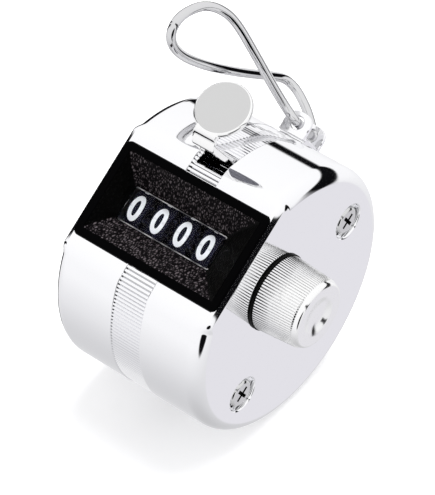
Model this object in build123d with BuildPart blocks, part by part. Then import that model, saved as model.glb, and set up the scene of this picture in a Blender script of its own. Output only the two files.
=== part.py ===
"""Hand lap counter: four number wheels in a round chromed case with a thumb lever and a reset knob.

The axis of the number wheels and the knob is +Z. The left cover's flat face lies on z = 0, and the
window looks towards -Y. The lever and the finger ring are on the -X side, which is up for a reader.
"""
import os
from math import asin, atan2, ceil, cos, degrees, hypot, pi, radians, sin, tan
from build123d import *

os.makedirs("parts", exist_ok=True)

# Case
body_radius = 21.75
body_width = 28.0
front_cut = 2.75
cover_wall = 0.8
rim_round = 2.4
front_round = 1.1
left_depth = 11.5
band_width = 5.5
band_inset = 0.1
band_thickness = 1.4
lip_length = 1.2
lip_clear = 0.05
rib_pitch = 0.62
rib_depth = 0.25

# Bezel, funnel and lens
flange_half = 7.9
flange_left = 0.73
flange_edge = 0.4
flange_proud = 0.35
flange_corner = 0.9
flange_round = 0.28
flange_overlap = 0.4
flange_end_overlap = 0.35
rim_band = 1.3
window_half = 2.83
window_trim = 0.18
window_center = 12.55
window_depth = 3.4
window_land = 0.4
plug_wall = 1.15
plug_clear = 0.1
plug_corner = 0.45
well_corner = 0.3
lens_thickness = 0.6
lens_overlap = 0.75

# Number wheels on the reset shaft
wheel_clear = 0.2
wheel_radius = 7.6
wheel_pitch = 4.37
wheel_rim = 3.0
bank_shift = 0.51
hub_radius = 3.0
rim_wall = 0.9
web_thickness = 1.0
shaft_radius = 1.5
running_clear = 0.05
side_gear_width = 0.62
wheel_names = ["thousands_wheel", "hundreds_wheel", "tens_wheel", "units_wheel"]

# Transfer gears
gear_teeth = 20
pinion_teeth = 8
gear_module = 0.68
tooth_addendum = 0.55
tooth_dedendum = 0.72
tooth_share = 0.4
crest_share = 0.2
foot_share = 0.6
transfer_clear = 0.1
pinion_shaft_radius = 0.9
pinion_hub_radius = 1.8
pinion_side_gap = 0.05

# Units ratchet, drive pawl and click spring
ratchet_teeth = 10
ratchet_tip = 4.1
ratchet_depth = 0.8
ratchet_width = 1.1
ratchet_slope = 0.88
ratchet_hub_radius = 2.4
end_play = 0.1
pawl_width = 0.9
pawl_gap = 0.1
pawl_strip = 1.4
pawl_rise = 6.0
pawl_bend = 2.8
pawl_shoulder = 4.4
pawl_end = 1.3
pawl_nose = 0.35
pawl_nose_gap = 0.25
pawl_rivet_radius = 0.6
crank_length = 8.0
crank_width = 0.8
crank_angle = 98.8
crank_clear = 0.505
click_sheet = 0.3
click_tab = 2.4
click_angle = 10.0
click_foot_side = 8.5
click_foot_ahead = 4.4

# Frame
plate_thickness = 0.9
plate_clear = 0.1
rim_clear = 0.385
post_edge = 6.75
post_drop = 1.8
post_radius = 2.2
post_tail_radius = 1.5
fit_clear = 0.05

# Cover screws in their dimples
screw_head_radius = 2.3
screw_head_height = 1.1
screw_head_round = 0.6
screw_radius = 1.0
screw_reach = 4.5
dimple_depth = 1.2
dimple_clear = 0.35
dimple_flare = 0.5
cross_width = 0.55
cross_length = 2.6
cross_depth = 0.6

# Thumb lever
lever_bearing = 40.0
lever_clear = 0.22
lever_hub_radius = 1.5
lever_pin_radius = 0.8
lever_stroke = 18.0
arm_rise = 0.1
arm_thickness = 1.1
arm_width = 4.0
arm_in_band = 2.9
arm_ahead = 6.3
pad_rise = 5.7
pad_radius = 4.43
pad_lean = 10.4
bend_radius = 1.5
slot_clear = 0.3
slot_top_clear = 0.35
spring_wire = 0.22
spring_turns = 4
spring_clear = 0.12
coil_gap = 0.09
spring_leg = 2.6

# Reset knob
knob_base_radius = 6.05
knob_end_radius = 5.5
knob_gap = 0.35
knob_length = 8.0
knob_smooth = 0.75
knob_end_round = 0.6
knob_dish = 0.5
knob_ribs = 84
knurl_depth = 0.22
washer_inset = 0.35
bush_radius = 2.6
bush_flange = 0.5
clip_thickness = 0.4
clip_groove = 0.4
clip_radius = 2.5

# Ring lug and finger ring
lug_front = 2.4
lug_rear = 4.4
lug_width = 4.6
lug_sheet = 0.8
lug_stand = 2.15
lug_hole_radius = 1.05
lug_round = 1.8
lug_in_band = 2.8
rivet_radius = 0.9
rivet_head_radius = 1.5
rivet_head = 0.45
wire_radius = 0.75
hook_bend = 1.1
hook_stand = 0.2
bend_share = 0.45
ring_loop = [(-0.9, -4.3, -1.9), (-2.5, -7.7, -4.1), (-4.4, -12.0, -6.3), (-7.0, -17.5, -9.6),
             (-7.1, -20.2, -11.3), (-6.2, -22.4, -12.5), (-4.4, -24.2, -13.15), (-2.3, -25.5, -13.4),
             (-0.3, -25.5, -13.4), (1.2, -24.0, -13.25), (1.7, -21.5, -12.8), (1.4, -18.5, -12.1),
             (0.5, -14.8, -11.2), (-1.1, -9.9, -10.2), (-3.3, -3.8, -9.6), (-4.8, 0.2, -9.3),
             (-5.9, 3.4, -8.7), (-5.5, 4.6, -7.0), (-4.5, 5.2, -5.3), (-3.0, 5.5, -3.1)]


def finish(name, builder):
    """Label a finished piece and write its file."""
    builder.part.label = name
    export_step(builder.part, "parts/" + name + ".step")


# Places that several pieces share
front_flat = body_radius - front_cut
right_depth = body_width - left_depth - band_width
band_low = left_depth
band_high = left_depth + band_width
plate_inset = cover_wall + plate_clear
band_inner = band_inset + band_thickness
bank_center = window_center - bank_shift
wheel_z = [bank_center + (i - 1.5) * wheel_pitch for i in range(4)]
window_length = 4 * wheel_pitch - window_trim
window_left = window_center - window_length / 2
window_right = window_center + window_length / 2
bezel_back = front_flat - window_depth - window_land
wheel_axis = bezel_back - lens_thickness - wheel_clear - wheel_radius
flange_right = body_width - flange_edge
gear_pitch_radius = gear_teeth * gear_module / 2
pinion_pitch_radius = pinion_teeth * gear_module / 2
gear_distance = gear_pitch_radius + pinion_pitch_radius
pinion_axis = gear_distance - wheel_axis
pinion_tip = pinion_pitch_radius + tooth_addendum
transfer_radius = gear_distance - pinion_tip - transfer_clear
ratchet_z = wheel_z[3] + wheel_rim / 2
dimple_radius = screw_head_radius + dimple_clear
post_low = dimple_depth + cover_wall
post_high = body_width - dimple_depth - cover_wall
post_spread = body_radius - post_edge
screw_spots = [(-post_spread, post_drop), (post_spread, post_drop)]
gear_low = side_gear_width + wheel_rim / 2
left_plate_top = wheel_z[0] - wheel_rim / 2 - rim_clear
left_plate_z = left_plate_top - plate_thickness
pawl_z = ratchet_z + (ratchet_width - pawl_width) / 2
crank_z = ratchet_z + ratchet_width + pawl_gap
right_plate_z = crank_z + crank_width + crank_clear
right_plate_top = right_plate_z + plate_thickness
lever_reach = body_radius - band_inner - lever_hub_radius - lever_clear
lever_up = lever_reach * sin(radians(lever_bearing))
lever_front = lever_reach * cos(radians(lever_bearing))
arm_up = lever_up + arm_rise
arm_center = band_low + arm_in_band
arm_reach = front_flat + arm_ahead
pad_up = arm_up + pad_rise
lug_center = band_low + lug_in_band
lug_hole_up = body_radius + lug_stand
lug_middle = (lug_rear - lug_front) / 2


def case_shape(inset, depth):
    """Solid of one half of the case, face down on z = inset, with every wall moved in by inset."""
    radius = body_radius - inset
    with BuildPart() as shape:
        with BuildSketch(Plane.XZ):
            with Locations((0, inset)):
                Rectangle(radius, depth - inset, align=(Align.MIN, Align.MIN))
            rim = vertices().group_by(Axis.X)[-1].sort_by(Axis.Y)[0]
            fillet(rim, rim_round - inset)
        revolve(axis=Axis.Z)
        split(bisect_by=Plane(origin=(0, inset - front_flat, 0), z_dir=(0, 1, 0)), keep=Keep.TOP)
        front = faces().filter_by(Axis.Y).sort_by(Axis.Y)[0]
        open_end = edges().group_by(Axis.Z)[-1]
        fillet(front.edges() - open_end, front_round - inset)
    return shape.part


def outline_points(inset, groove):
    """Points of the ribbed outline: ridges at the inset, valleys a groove deeper."""
    count = ceil(2 * pi * body_radius / rib_pitch)
    points = []
    for i in range(2 * count):
        angle = pi * i / count
        depth = inset + groove * (i % 2)
        reach = body_radius - depth
        if cos(angle) > 0:
            reach = min(reach, (front_flat - depth) / cos(angle))
        points.append((reach * sin(angle), -reach * cos(angle)))
    return points


def case_outline(inset):
    """Plan of the case, moved in by inset."""
    with BuildSketch() as plan:
        Circle(body_radius - inset)
        with Locations((0, body_radius + inset - front_flat)):
            Rectangle(2 * body_radius, 2 * body_radius, mode=Mode.INTERSECT)
    return plan.sketch


def pocket(low, high, half, back):
    """Block behind the front flat, used to open a way for the bezel."""
    with BuildPart() as block:
        with Locations((0, -(front_flat + back) / 2, (low + high) / 2)):
            Box(2 * half, front_flat - back + 2, high - low)
    return block.part


# Covers: drawn cups with dimples for the screws and an opening for the bezel
aperture_half = flange_half - flange_overlap
aperture_low = flange_left + flange_end_overlap
aperture_high = flange_right - flange_end_overlap
aperture = pocket(aperture_low, aperture_high, aperture_half, front_flat - 2 * cover_wall)


def cover(depth):
    """One cover with its face on z = 0, its dimples and screw holes."""
    outer = case_shape(0, depth)
    inner = case_shape(cover_wall, depth + 1)
    with BuildPart() as shell:
        add(outer)
        add(inner, mode=Mode.SUBTRACT)
        with BuildSketch(Plane.XY.offset(cover_wall / 2)):
            with Locations(*screw_spots):
                Circle(dimple_radius + cover_wall)
        extrude(amount=dimple_depth + cover_wall / 2)
        with BuildSketch(Plane.XY.offset(dimple_depth)):
            with Locations(*screw_spots):
                Circle(dimple_radius)
        extrude(amount=-dimple_depth, taper=-degrees(atan2(dimple_flare, dimple_depth)), mode=Mode.SUBTRACT)
        with BuildSketch():
            with Locations(*screw_spots):
                Circle(screw_radius + fit_clear)
        extrude(amount=dimple_depth + 2 * cover_wall, mode=Mode.SUBTRACT)
    return shell.part


with BuildPart() as left_cover:
    add(cover(left_depth))
    add(aperture, mode=Mode.SUBTRACT)
finish("left_cover", left_cover)

with BuildPart() as right_cover:
    mirror(cover(right_depth), about=Plane.XY.offset(body_width / 2))
    add(aperture, mode=Mode.SUBTRACT)
    with Locations((0, -wheel_axis, body_width)):
        Cylinder(bush_radius + fit_clear, 4 * cover_wall, mode=Mode.SUBTRACT)
finish("right_cover", right_cover)

# Centre band: ribbed outside, with a lip inside each cover, cut for the bezel and the lever
lip_inset = cover_wall + lip_clear
slot_top = arm_up + arm_thickness / 2 + slot_top_clear
slot_bottom = (arm_up - (front_flat - lever_front) * tan(radians(lever_stroke))
               - arm_thickness / 2 / cos(radians(lever_stroke)) - slot_clear)
slot_low = arm_center - arm_width / 2 - slot_clear
slot_back = ((body_radius - band_inner) ** 2 - slot_top ** 2) ** 0.5 - slot_clear
with BuildPart() as centre_band:
    with BuildSketch(Plane.XY.offset(band_low)):
        with BuildLine():
            Polyline(*outline_points(band_inset, rib_depth), close=True)
        make_face()
    extrude(amount=band_width)
    with BuildSketch(Plane.XY.offset(band_low - lip_length)):
        add(case_outline(lip_inset))
    extrude(amount=band_width + 2 * lip_length)
    with BuildSketch(Plane.XY.offset(band_low - lip_length)):
        add(case_outline(band_inner))
    extrude(amount=band_width + 2 * lip_length, mode=Mode.SUBTRACT)
    add(aperture, mode=Mode.SUBTRACT)
    with Locations((-(slot_top + slot_bottom) / 2, -slot_back, slot_low)):
        Box(slot_top - slot_bottom, body_radius - slot_back, body_width - slot_low,
            align=(Align.CENTER, Align.MAX, Align.MIN), mode=Mode.SUBTRACT)
    with Locations(Location((-body_radius, lug_middle, lug_center), (0, 90, 0))):
        Cylinder(rivet_radius, 4 * band_inner, mode=Mode.SUBTRACT)
finish("centre_band", centre_band)

# Bezel: a flange on the front flat and a funnel down to the window
flange_face = front_flat + flange_proud


def front_plane(forward):
    """Plane at a distance in front of the body axis: sketch x runs along +Z, sketch y is up."""
    return Plane(origin=(0, -forward, 0), x_dir=(0, 0, 1), z_dir=(0, -1, 0))


def front_block(low, high, half, near, far, corner):
    """Prism between two distances from the body axis, as wide as the z range."""
    with BuildPart() as block:
        with BuildSketch(front_plane(near)):
            with Locations(((low + high) / 2, 0)):
                RectangleRounded(high - low, 2 * half, corner)
        extrude(amount=far - near)
    return block.part


def funnel(mouth, floor, corner):
    """Tapered block from a mouth to a floor, each given as (forward, low, high, half)."""
    with BuildPart() as block:
        for forward, low, high, half in (floor, mouth):
            with BuildSketch(front_plane(forward)):
                with Locations(((low + high) / 2, 0)):
                    RectangleRounded(high - low, 2 * half, corner)
        loft()
    return block.part


plug_mouth = (front_flat, aperture_low + plug_clear, aperture_high - plug_clear, aperture_half - plug_clear)
plug_floor = (bezel_back, window_left - plug_wall, window_right + plug_wall, window_half + plug_wall)
well_mouth = (flange_face, flange_left + rim_band, flange_right - rim_band, flange_half - rim_band)
well_floor = (front_flat - window_depth, window_left, window_right, window_half)
with BuildPart() as bezel:
    add(front_block(flange_left, flange_right, flange_half, front_flat, flange_face, flange_corner))
    outer_rim = faces().sort_by(Axis.Y)[0].edges()
    fillet(outer_rim, flange_round)
    add(funnel(plug_mouth, plug_floor, plug_corner))
    add(funnel(well_mouth, well_floor, well_corner), mode=Mode.SUBTRACT)
    add(front_block(window_left, window_right, window_half, bezel_back - 1, front_flat - window_depth,
                    well_corner), mode=Mode.SUBTRACT)
finish("bezel", bezel)

with BuildPart() as lens:
    add(front_block(window_left - lens_overlap, window_right + lens_overlap, window_half + lens_overlap,
                    bezel_back - lens_thickness, bezel_back, plug_corner))
finish("lens", lens)


# Frame plates, posts and cover screws
def frame_plate(z):
    """Plate that fills the cover, open in front for the bezel, with holes for everything it carries."""
    with BuildPart() as plate:
        with BuildSketch(Plane.XY.offset(z)):
            add(case_outline(plate_inset))
            with Locations((0, -front_flat)):
                Rectangle(2 * aperture_half, 2 * (front_flat - bezel_back + lens_thickness) + fit_clear,
                          mode=Mode.SUBTRACT)
            with Locations(*screw_spots):
                Circle(post_tail_radius + fit_clear, mode=Mode.SUBTRACT)
            with Locations((0, -wheel_axis)):
                Circle(shaft_radius + running_clear, mode=Mode.SUBTRACT)
            with Locations((0, pinion_axis)):
                Circle(pinion_shaft_radius + fit_clear, mode=Mode.SUBTRACT)
            with Locations((-lever_up, -lever_front)):
                Circle(lever_pin_radius + fit_clear, mode=Mode.SUBTRACT)
        extrude(amount=plate_thickness)
    return plate.part


with BuildPart() as left_plate:
    add(frame_plate(left_plate_z))
finish("left_plate", left_plate)

with BuildPart() as right_plate:
    add(frame_plate(right_plate_z))
finish("right_plate", right_plate)

with BuildPart() as frame_posts:
    for low, high, radius in ((post_low, post_high, post_tail_radius),
                              (left_plate_top, right_plate_z, post_radius)):
        with BuildSketch(Plane.XY.offset(low)):
            with Locations(*screw_spots):
                Circle(radius)
        extrude(amount=high - low)
    for z, away in ((post_low, 1), (post_high, -1)):
        with BuildSketch(Plane.XY.offset(z)):
            with Locations(*screw_spots):
                Circle(screw_radius + fit_clear)
        extrude(amount=away * screw_reach, mode=Mode.SUBTRACT)
finish("frame_posts", frame_posts)


def cover_screws():
    """Two domed cross-recess screws that stand in the dimples of a cover lying on z = 0."""
    with BuildPart() as screws:
        with BuildSketch(Plane.XY.offset(dimple_depth)):
            with Locations(*screw_spots):
                Circle(screw_head_radius)
        extrude(amount=-screw_head_height)
        fillet(edges().group_by(Axis.Z)[0], screw_head_round)
        with BuildSketch(Plane.XY.offset(dimple_depth)):
            with Locations(*screw_spots):
                Circle(screw_radius)
        extrude(amount=cover_wall + screw_reach - screw_radius)
        with BuildSketch(Plane.XY.offset(dimple_depth - screw_head_height)):
            with Locations(*screw_spots):
                Rectangle(cross_length, cross_width)
                Rectangle(cross_width, cross_length)
        extrude(amount=cross_depth, mode=Mode.SUBTRACT)
    return screws.part


with BuildPart() as left_screws:
    add(cover_screws())
finish("left_screws", left_screws)

with BuildPart() as right_screws:
    mirror(cover_screws(), about=Plane.XY.offset(body_width / 2))
finish("right_screws", right_screws)


# Number wheels: rim, web and hub, a driven gear to the right and a transfer disc to the left
def tooth_points(pitch_radius, teeth, center, turn, kept):
    """Outline of a spur gear whose axis passes (0, center), with only the kept teeth standing."""
    points = []
    root = pitch_radius - tooth_dedendum
    tip = pitch_radius + tooth_addendum
    step = 2 * pi / teeth
    foot = step * foot_share / 2
    waist = step * tooth_share / 2
    crest = step * crest_share / 2
    for i in range(teeth):
        flank = [(root, -foot), (root, foot)]
        if i in kept:
            flank[1:1] = [(pitch_radius, -waist), (tip, -crest), (tip, crest), (pitch_radius, waist)]
        for radius, half in flank:
            angle = turn + i * step + half
            points.append((radius * cos(angle), center + radius * sin(angle)))
    return points


toward_pinion = radians(90)
gear_turn = toward_pinion + pi / gear_teeth
pinion_turn = -toward_pinion
every_gear_tooth = range(gear_teeth)
every_pinion_tooth = range(pinion_teeth)
half_pinion_teeth = range(1, pinion_teeth, 2)


def number_wheel(index):
    """One number wheel at its place on the shaft."""
    z = wheel_z[index]
    low = z - wheel_rim / 2
    driven = index < 3
    driving = index > 0
    with BuildPart() as wheel:
        with BuildSketch(Plane.XY.offset(low)):
            with Locations((0, -wheel_axis)):
                Circle(wheel_radius)
                Circle(wheel_radius - rim_wall, mode=Mode.SUBTRACT)
        extrude(amount=wheel_rim)
        with BuildSketch(Plane.XY.offset(z - web_thickness / 2)):
            with Locations((0, -wheel_axis)):
                Circle(wheel_radius - rim_wall / 2)
        extrude(amount=web_thickness)
        hub_left = z - gear_low if driving else left_plate_top + end_play
        hub_right = z + gear_low if driven else z + wheel_rim / 2
        with BuildSketch(Plane.XY.offset(hub_left)):
            with Locations((0, -wheel_axis)):
                Circle(hub_radius)
        extrude(amount=hub_right - hub_left)
        if driven:
            with BuildSketch(Plane.XY.offset(z + web_thickness / 2)):
                with Locations((0, -wheel_axis)):
                    Circle(gear_pitch_radius - tooth_dedendum)
                    Circle(gear_pitch_radius - tooth_dedendum - rim_wall, mode=Mode.SUBTRACT)
            extrude(amount=(wheel_rim - web_thickness) / 2)
            with BuildSketch(Plane.XY.offset(z + wheel_rim / 2)):
                with BuildLine():
                    Polyline(*tooth_points(gear_pitch_radius, gear_teeth, -wheel_axis, gear_turn,
                                           every_gear_tooth), close=True)
                make_face()
            extrude(amount=side_gear_width)
        if driving:
            with BuildSketch(Plane.XY.offset(low - side_gear_width)):
                with Locations((0, -wheel_axis)):
                    Circle(transfer_radius - tooth_addendum)
                    for side in (-1, 1):
                        angle = toward_pinion + 2 * pi / ratchet_teeth + side * pi / gear_teeth
                        with Locations(Location((0, 0, 0), (0, 0, degrees(angle)))):
                            Rectangle(transfer_radius, tooth_addendum, align=(Align.MIN, Align.CENTER))
            extrude(amount=side_gear_width + (wheel_rim - web_thickness) / 2)
        with Locations((0, -wheel_axis, z)):
            Cylinder(shaft_radius + running_clear, 3 * wheel_rim, mode=Mode.SUBTRACT)
    return wheel


for i, wheel_name in enumerate(wheel_names):
    finish(wheel_name, number_wheel(i))


# Transfer pinions: eight teeth over the driven gear, every other tooth cut away over the transfer disc
def transfer_pinion(index):
    """Pinion between a wheel and the faster one to its right."""
    gap_low = wheel_z[index] + wheel_rim / 2
    gap_high = wheel_z[index + 1] - wheel_rim / 2
    middle = (gap_low + gap_high) / 2
    hub = wheel_pitch - 2 * pinion_side_gap
    with BuildPart() as pinion:
        for low, high, kept in ((gap_low + pinion_side_gap, middle, every_pinion_tooth),
                                (middle, gap_high - pinion_side_gap, half_pinion_teeth)):
            with BuildSketch(Plane.XY.offset(low)):
                with BuildLine():
                    Polyline(*tooth_points(pinion_pitch_radius, pinion_teeth, pinion_axis, pinion_turn,
                                           kept), close=True)
                make_face()
            extrude(amount=high - low)
        with Locations((0, pinion_axis, middle)):
            Cylinder(pinion_hub_radius, hub)
            Cylinder(pinion_shaft_radius + running_clear, 2 * hub, mode=Mode.SUBTRACT)
    return pinion


for i, pinion_name in enumerate(["thousands_pinion", "hundreds_pinion", "tens_pinion"]):
    finish(pinion_name, transfer_pinion(i))

with BuildPart() as pinion_shaft:
    with Locations((0, pinion_axis, left_plate_z)):
        Cylinder(pinion_shaft_radius, right_plate_top - left_plate_z,
                 align=(Align.CENTER, Align.CENTER, Align.MIN))
finish("pinion_shaft", pinion_shaft)

# Units ratchet: ten saw teeth, pulled round by the hooked pawl
saw_points = []
for i in range(ratchet_teeth):
    for lag, radius in ((0, ratchet_tip), (ratchet_slope, ratchet_tip - ratchet_depth)):
        angle = toward_pinion + (i + lag) * 2 * pi / ratchet_teeth
        saw_points.append((radius * cos(angle), radius * sin(angle) - wheel_axis))
with BuildPart() as units_ratchet:
    with BuildSketch(Plane.XY.offset(ratchet_z)):
        with BuildLine():
            Polyline(*saw_points, close=True)
        make_face()
    extrude(amount=ratchet_width)
    with BuildSketch(Plane.XY.offset(ratchet_z)):
        with Locations((0, -wheel_axis)):
            Circle(ratchet_hub_radius)
    extrude(amount=right_plate_z - end_play - ratchet_z)
    with Locations((0, -wheel_axis, ratchet_z)):
        Cylinder(shaft_radius + running_clear, body_width, mode=Mode.SUBTRACT)
finish("units_ratchet", units_ratchet)

# Thumb lever: a bent strip with a round pad outside and a hub, pin and crank inside
pin_spot = (-lever_up, -lever_front)
coil_pitch = 2 * spring_wire + coil_gap
coil_low = left_plate_top + 2 * spring_wire
hub_low = coil_low + coil_pitch * spring_turns + 2 * spring_wire
pad_slope = radians(pad_lean)
pad_front = arm_reach - (pad_up - arm_up) * tan(pad_slope)
crank_spot = (pin_spot[0] + crank_length * cos(radians(crank_angle)),
              pin_spot[1] + crank_length * sin(radians(crank_angle)))
with BuildPart() as thumb_lever:
    with BuildSketch(Plane.XY.offset(arm_center - arm_width / 2)):
        with BuildLine() as spine:
            FilletPolyline((-arm_up, -lever_front), (-arm_up, -arm_reach), (-pad_up, -pad_front),
                           radius=bend_radius)
        trace(line_width=arm_thickness)
    extrude(amount=arm_width)
    pad_plane = Plane(origin=(-pad_up, -pad_front, arm_center), x_dir=(0, 0, 1),
                      z_dir=(-sin(pad_slope), -cos(pad_slope), 0))
    with BuildSketch(pad_plane):
        Circle(pad_radius)
    extrude(amount=arm_thickness / 2, both=True)
    with BuildSketch(Plane.XY.offset(hub_low)):
        with Locations(pin_spot):
            Circle(lever_hub_radius)
    extrude(amount=crank_z + crank_width - hub_low)
    with BuildSketch(Plane.XY.offset(crank_z)):
        with BuildLine():
            Line(pin_spot, crank_spot)
        trace(line_width=2 * lever_hub_radius)
        with Locations(pin_spot, crank_spot):
            Circle(lever_hub_radius)
    extrude(amount=crank_width)
    with BuildSketch(Plane.XY.offset(hub_low)):
        with Locations(pin_spot):
            Circle(lever_pin_radius + running_clear)
    extrude(amount=crank_z + crank_width - hub_low, mode=Mode.SUBTRACT)
    with BuildSketch(Plane.XY.offset(crank_z)):
        with Locations(crank_spot):
            Circle(pawl_rivet_radius + fit_clear)
    extrude(amount=crank_width, mode=Mode.SUBTRACT)
finish("thumb_lever", thumb_lever)

with BuildPart() as lever_pin:
    with Locations((pin_spot[0], pin_spot[1], left_plate_z)):
        Cylinder(lever_pin_radius, right_plate_top - left_plate_z,
                 align=(Align.CENTER, Align.CENTER, Align.MIN))
finish("lever_pin", lever_pin)

with BuildPart() as pawl_rivet:
    with Locations((crank_spot[0], crank_spot[1], pawl_z)):
        Cylinder(pawl_rivet_radius, crank_z + crank_width - pawl_z,
                 align=(Align.CENTER, Align.CENTER, Align.MIN))
finish("pawl_rivet", pawl_rivet)

# Drive pawl: a bent strip that arches over the ratchet, with a hook behind one tooth
nose_y = ratchet_tip + pawl_nose_gap - wheel_axis
pawl_arch = pawl_rise - wheel_axis
pawl_edge = pawl_arch - pawl_strip / 2
with BuildPart() as drive_pawl:
    with BuildSketch(Plane.XY.offset(pawl_z)):
        with BuildLine():
            FilletPolyline(crank_spot, (-pawl_shoulder, pawl_arch), (pawl_end, pawl_arch),
                           radius=pawl_bend)
        trace(line_width=pawl_strip)
        with Locations(crank_spot):
            Circle(lever_hub_radius)
        with BuildLine():
            Polyline((0, pawl_edge), (0, nose_y), (pawl_nose, nose_y), (pawl_end, pawl_edge),
                     (pawl_end, pawl_arch), (0, pawl_arch), close=True)
        make_face()
        with Locations(crank_spot):
            Circle(pawl_rivet_radius + running_clear, mode=Mode.SUBTRACT)
    extrude(amount=pawl_width)
finish("drive_pawl", drive_pawl)

# Lever return spring: coils round the pin to the left of the hub, one leg on the plate side
coil_radius = lever_pin_radius + spring_clear + spring_wire
with BuildPart() as lever_spring:
    with BuildLine() as coil:
        turns = Helix(coil_pitch, coil_pitch * spring_turns, coil_radius,
                      center=(pin_spot[0], pin_spot[1], coil_low))
        Line(turns @ 0 - (turns % 0) * spring_leg, turns @ 0)
        Line(turns @ 1, turns @ 1 + (turns % 1) * spring_leg)
    with BuildSketch(Plane(origin=coil.line @ 0, z_dir=coil.line % 0)):
        RegularPolygon(spring_wire, 6)
    sweep()
finish("lever_spring", lever_spring)

# Click spring: a leaf on the right plate that keeps the ratchet from turning back
click_foot = (click_foot_side, -wheel_axis - click_foot_ahead)
click_reach = ratchet_tip + pawl_gap + click_sheet / 2
click_tip = (click_reach * cos(radians(click_angle)), click_reach * sin(radians(click_angle)) - wheel_axis)
with BuildPart() as click_spring:
    with BuildSketch(Plane.XY.offset(right_plate_z - click_sheet)):
        with Locations(click_foot):
            Rectangle(click_tab, click_tab)
    extrude(amount=click_sheet)
    with BuildSketch(Plane.XY.offset(pawl_z)):
        with BuildLine():
            Line(click_foot, click_tip)
        trace(line_width=click_sheet)
    extrude(amount=right_plate_z - pawl_z)
finish("click_spring", click_spring)

# Reset shaft with its groove, the clip at its left end, the bush and the washer
shaft_low = left_plate_z - clip_thickness - 2 * clip_groove
knob_low = body_width + knob_gap
knob_high = body_width + knob_length
with BuildPart() as reset_shaft:
    with Locations((0, -wheel_axis, shaft_low)):
        Cylinder(shaft_radius, knob_low + knob_length / 2 - shaft_low,
                 align=(Align.CENTER, Align.CENTER, Align.MIN))
    with BuildSketch(Plane.XY.offset(left_plate_z - clip_thickness)):
        with Locations((0, -wheel_axis)):
            Circle(shaft_radius)
            Circle(shaft_radius - clip_groove, mode=Mode.SUBTRACT)
    extrude(amount=clip_thickness, mode=Mode.SUBTRACT)
    with Locations((0, -wheel_axis - shaft_radius, left_plate_top)):
        Box(clip_groove * 2, clip_groove * 2, right_plate_z - left_plate_top,
            align=(Align.CENTER, Align.CENTER, Align.MIN), mode=Mode.SUBTRACT)
finish("reset_shaft", reset_shaft)

with BuildPart() as shaft_clip:
    with BuildSketch(Plane.XY.offset(left_plate_z - clip_thickness + fit_clear / 2)):
        with Locations((0, -wheel_axis)):
            Circle(clip_radius)
            Circle(shaft_radius - clip_groove + fit_clear / 2, mode=Mode.SUBTRACT)
        with Locations((0, -wheel_axis)):
            Rectangle(2 * (shaft_radius - clip_groove), clip_radius,
                      align=(Align.CENTER, Align.MIN), mode=Mode.SUBTRACT)
    extrude(amount=clip_thickness - fit_clear)
finish("shaft_clip", shaft_clip)

with BuildPart() as shaft_bush:
    with Locations((0, -wheel_axis, right_plate_top)):
        Cylinder(bush_radius, body_width - right_plate_top, align=(Align.CENTER, Align.CENTER, Align.MIN))
        Cylinder(bush_radius + cover_wall, bush_flange, align=(Align.CENTER, Align.CENTER, Align.MIN))
        Cylinder(shaft_radius + running_clear, 2 * body_width, mode=Mode.SUBTRACT)
finish("shaft_bush", shaft_bush)

with BuildPart() as knob_washer:
    with BuildSketch(Plane.XY.offset(body_width)):
        with Locations((0, -wheel_axis)):
            Circle(knob_base_radius - washer_inset)
            Circle(shaft_radius + fit_clear, mode=Mode.SUBTRACT)
    extrude(amount=knob_gap - running_clear)
finish("knob_washer", knob_washer)

# Reset knob: a tapered knurled barrel with a smooth rounded end and a shallow dish
knurl_high = knob_high - knob_smooth


def knurl_points(radius):
    """Star outline of the knurl about the knob's axis."""
    points = []
    for i in range(2 * knob_ribs):
        reach = radius - knurl_depth * (i % 2)
        points.append((reach * cos(pi * i / knob_ribs), reach * sin(pi * i / knob_ribs) - wheel_axis))
    return points


with BuildPart() as reset_knob:
    for z, radius in ((knob_low, knob_base_radius), (knurl_high, knob_end_radius)):
        with BuildSketch(Plane.XY.offset(z)):
            with BuildLine():
                Polyline(*knurl_points(radius), close=True)
            make_face()
    loft(ruled=True)
    with Locations((0, -wheel_axis, knurl_high)):
        Cylinder(knob_end_radius - knurl_depth, knob_smooth, align=(Align.CENTER, Align.CENTER, Align.MIN))
    end_edge = edges().filter_by(GeomType.CIRCLE).sort_by(Axis.Z)[-1]
    fillet(end_edge, knob_end_round)
    dish_half = knob_end_radius - knurl_depth - knob_end_round
    dish_radius = (dish_half * dish_half + knob_dish * knob_dish) / 2 / knob_dish
    with Locations((0, -wheel_axis, knob_high - knob_dish + dish_radius)):
        Sphere(dish_radius, mode=Mode.SUBTRACT)
    with Locations((0, -wheel_axis, knob_low)):
        Cylinder(shaft_radius, knob_length, mode=Mode.SUBTRACT)
finish("reset_knob", reset_knob)

# Ring lug: two ears on a base that follows the band, with a rivet through the base
lug_top = lug_hole_up + lug_round
with BuildPart() as ring_lug:
    with BuildSketch(Plane.XY.offset(lug_center - lug_width / 2)):
        with Locations((0, lug_middle)):
            Rectangle(2 * lug_top, lug_front + lug_rear)
            Rectangle(4 * lug_top, lug_front + lug_rear - 2 * lug_sheet, mode=Mode.SUBTRACT)
        with Locations((0, lug_middle)):
            Rectangle(2 * (body_radius + lug_sheet), lug_front + lug_rear)
        Circle(body_radius - band_inset, mode=Mode.SUBTRACT)
        with Locations((0, lug_middle)):
            Rectangle(2 * lug_top, 2 * lug_top, align=(Align.MIN, Align.CENTER), mode=Mode.SUBTRACT)
    extrude(amount=lug_width)
    tops = edges().filter_by(Axis.Y).group_by(Axis.X)[0]
    fillet(tops, lug_round)
    with Locations(Location((-lug_hole_up, lug_middle, lug_center), (90, 0, 0))):
        Cylinder(lug_hole_radius, 4 * lug_top, mode=Mode.SUBTRACT)
    with Locations(Location((-body_radius, lug_middle, lug_center), (0, 90, 0))):
        Cylinder(rivet_radius, 4 * lug_sheet, mode=Mode.SUBTRACT)
finish("ring_lug", ring_lug)

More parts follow.
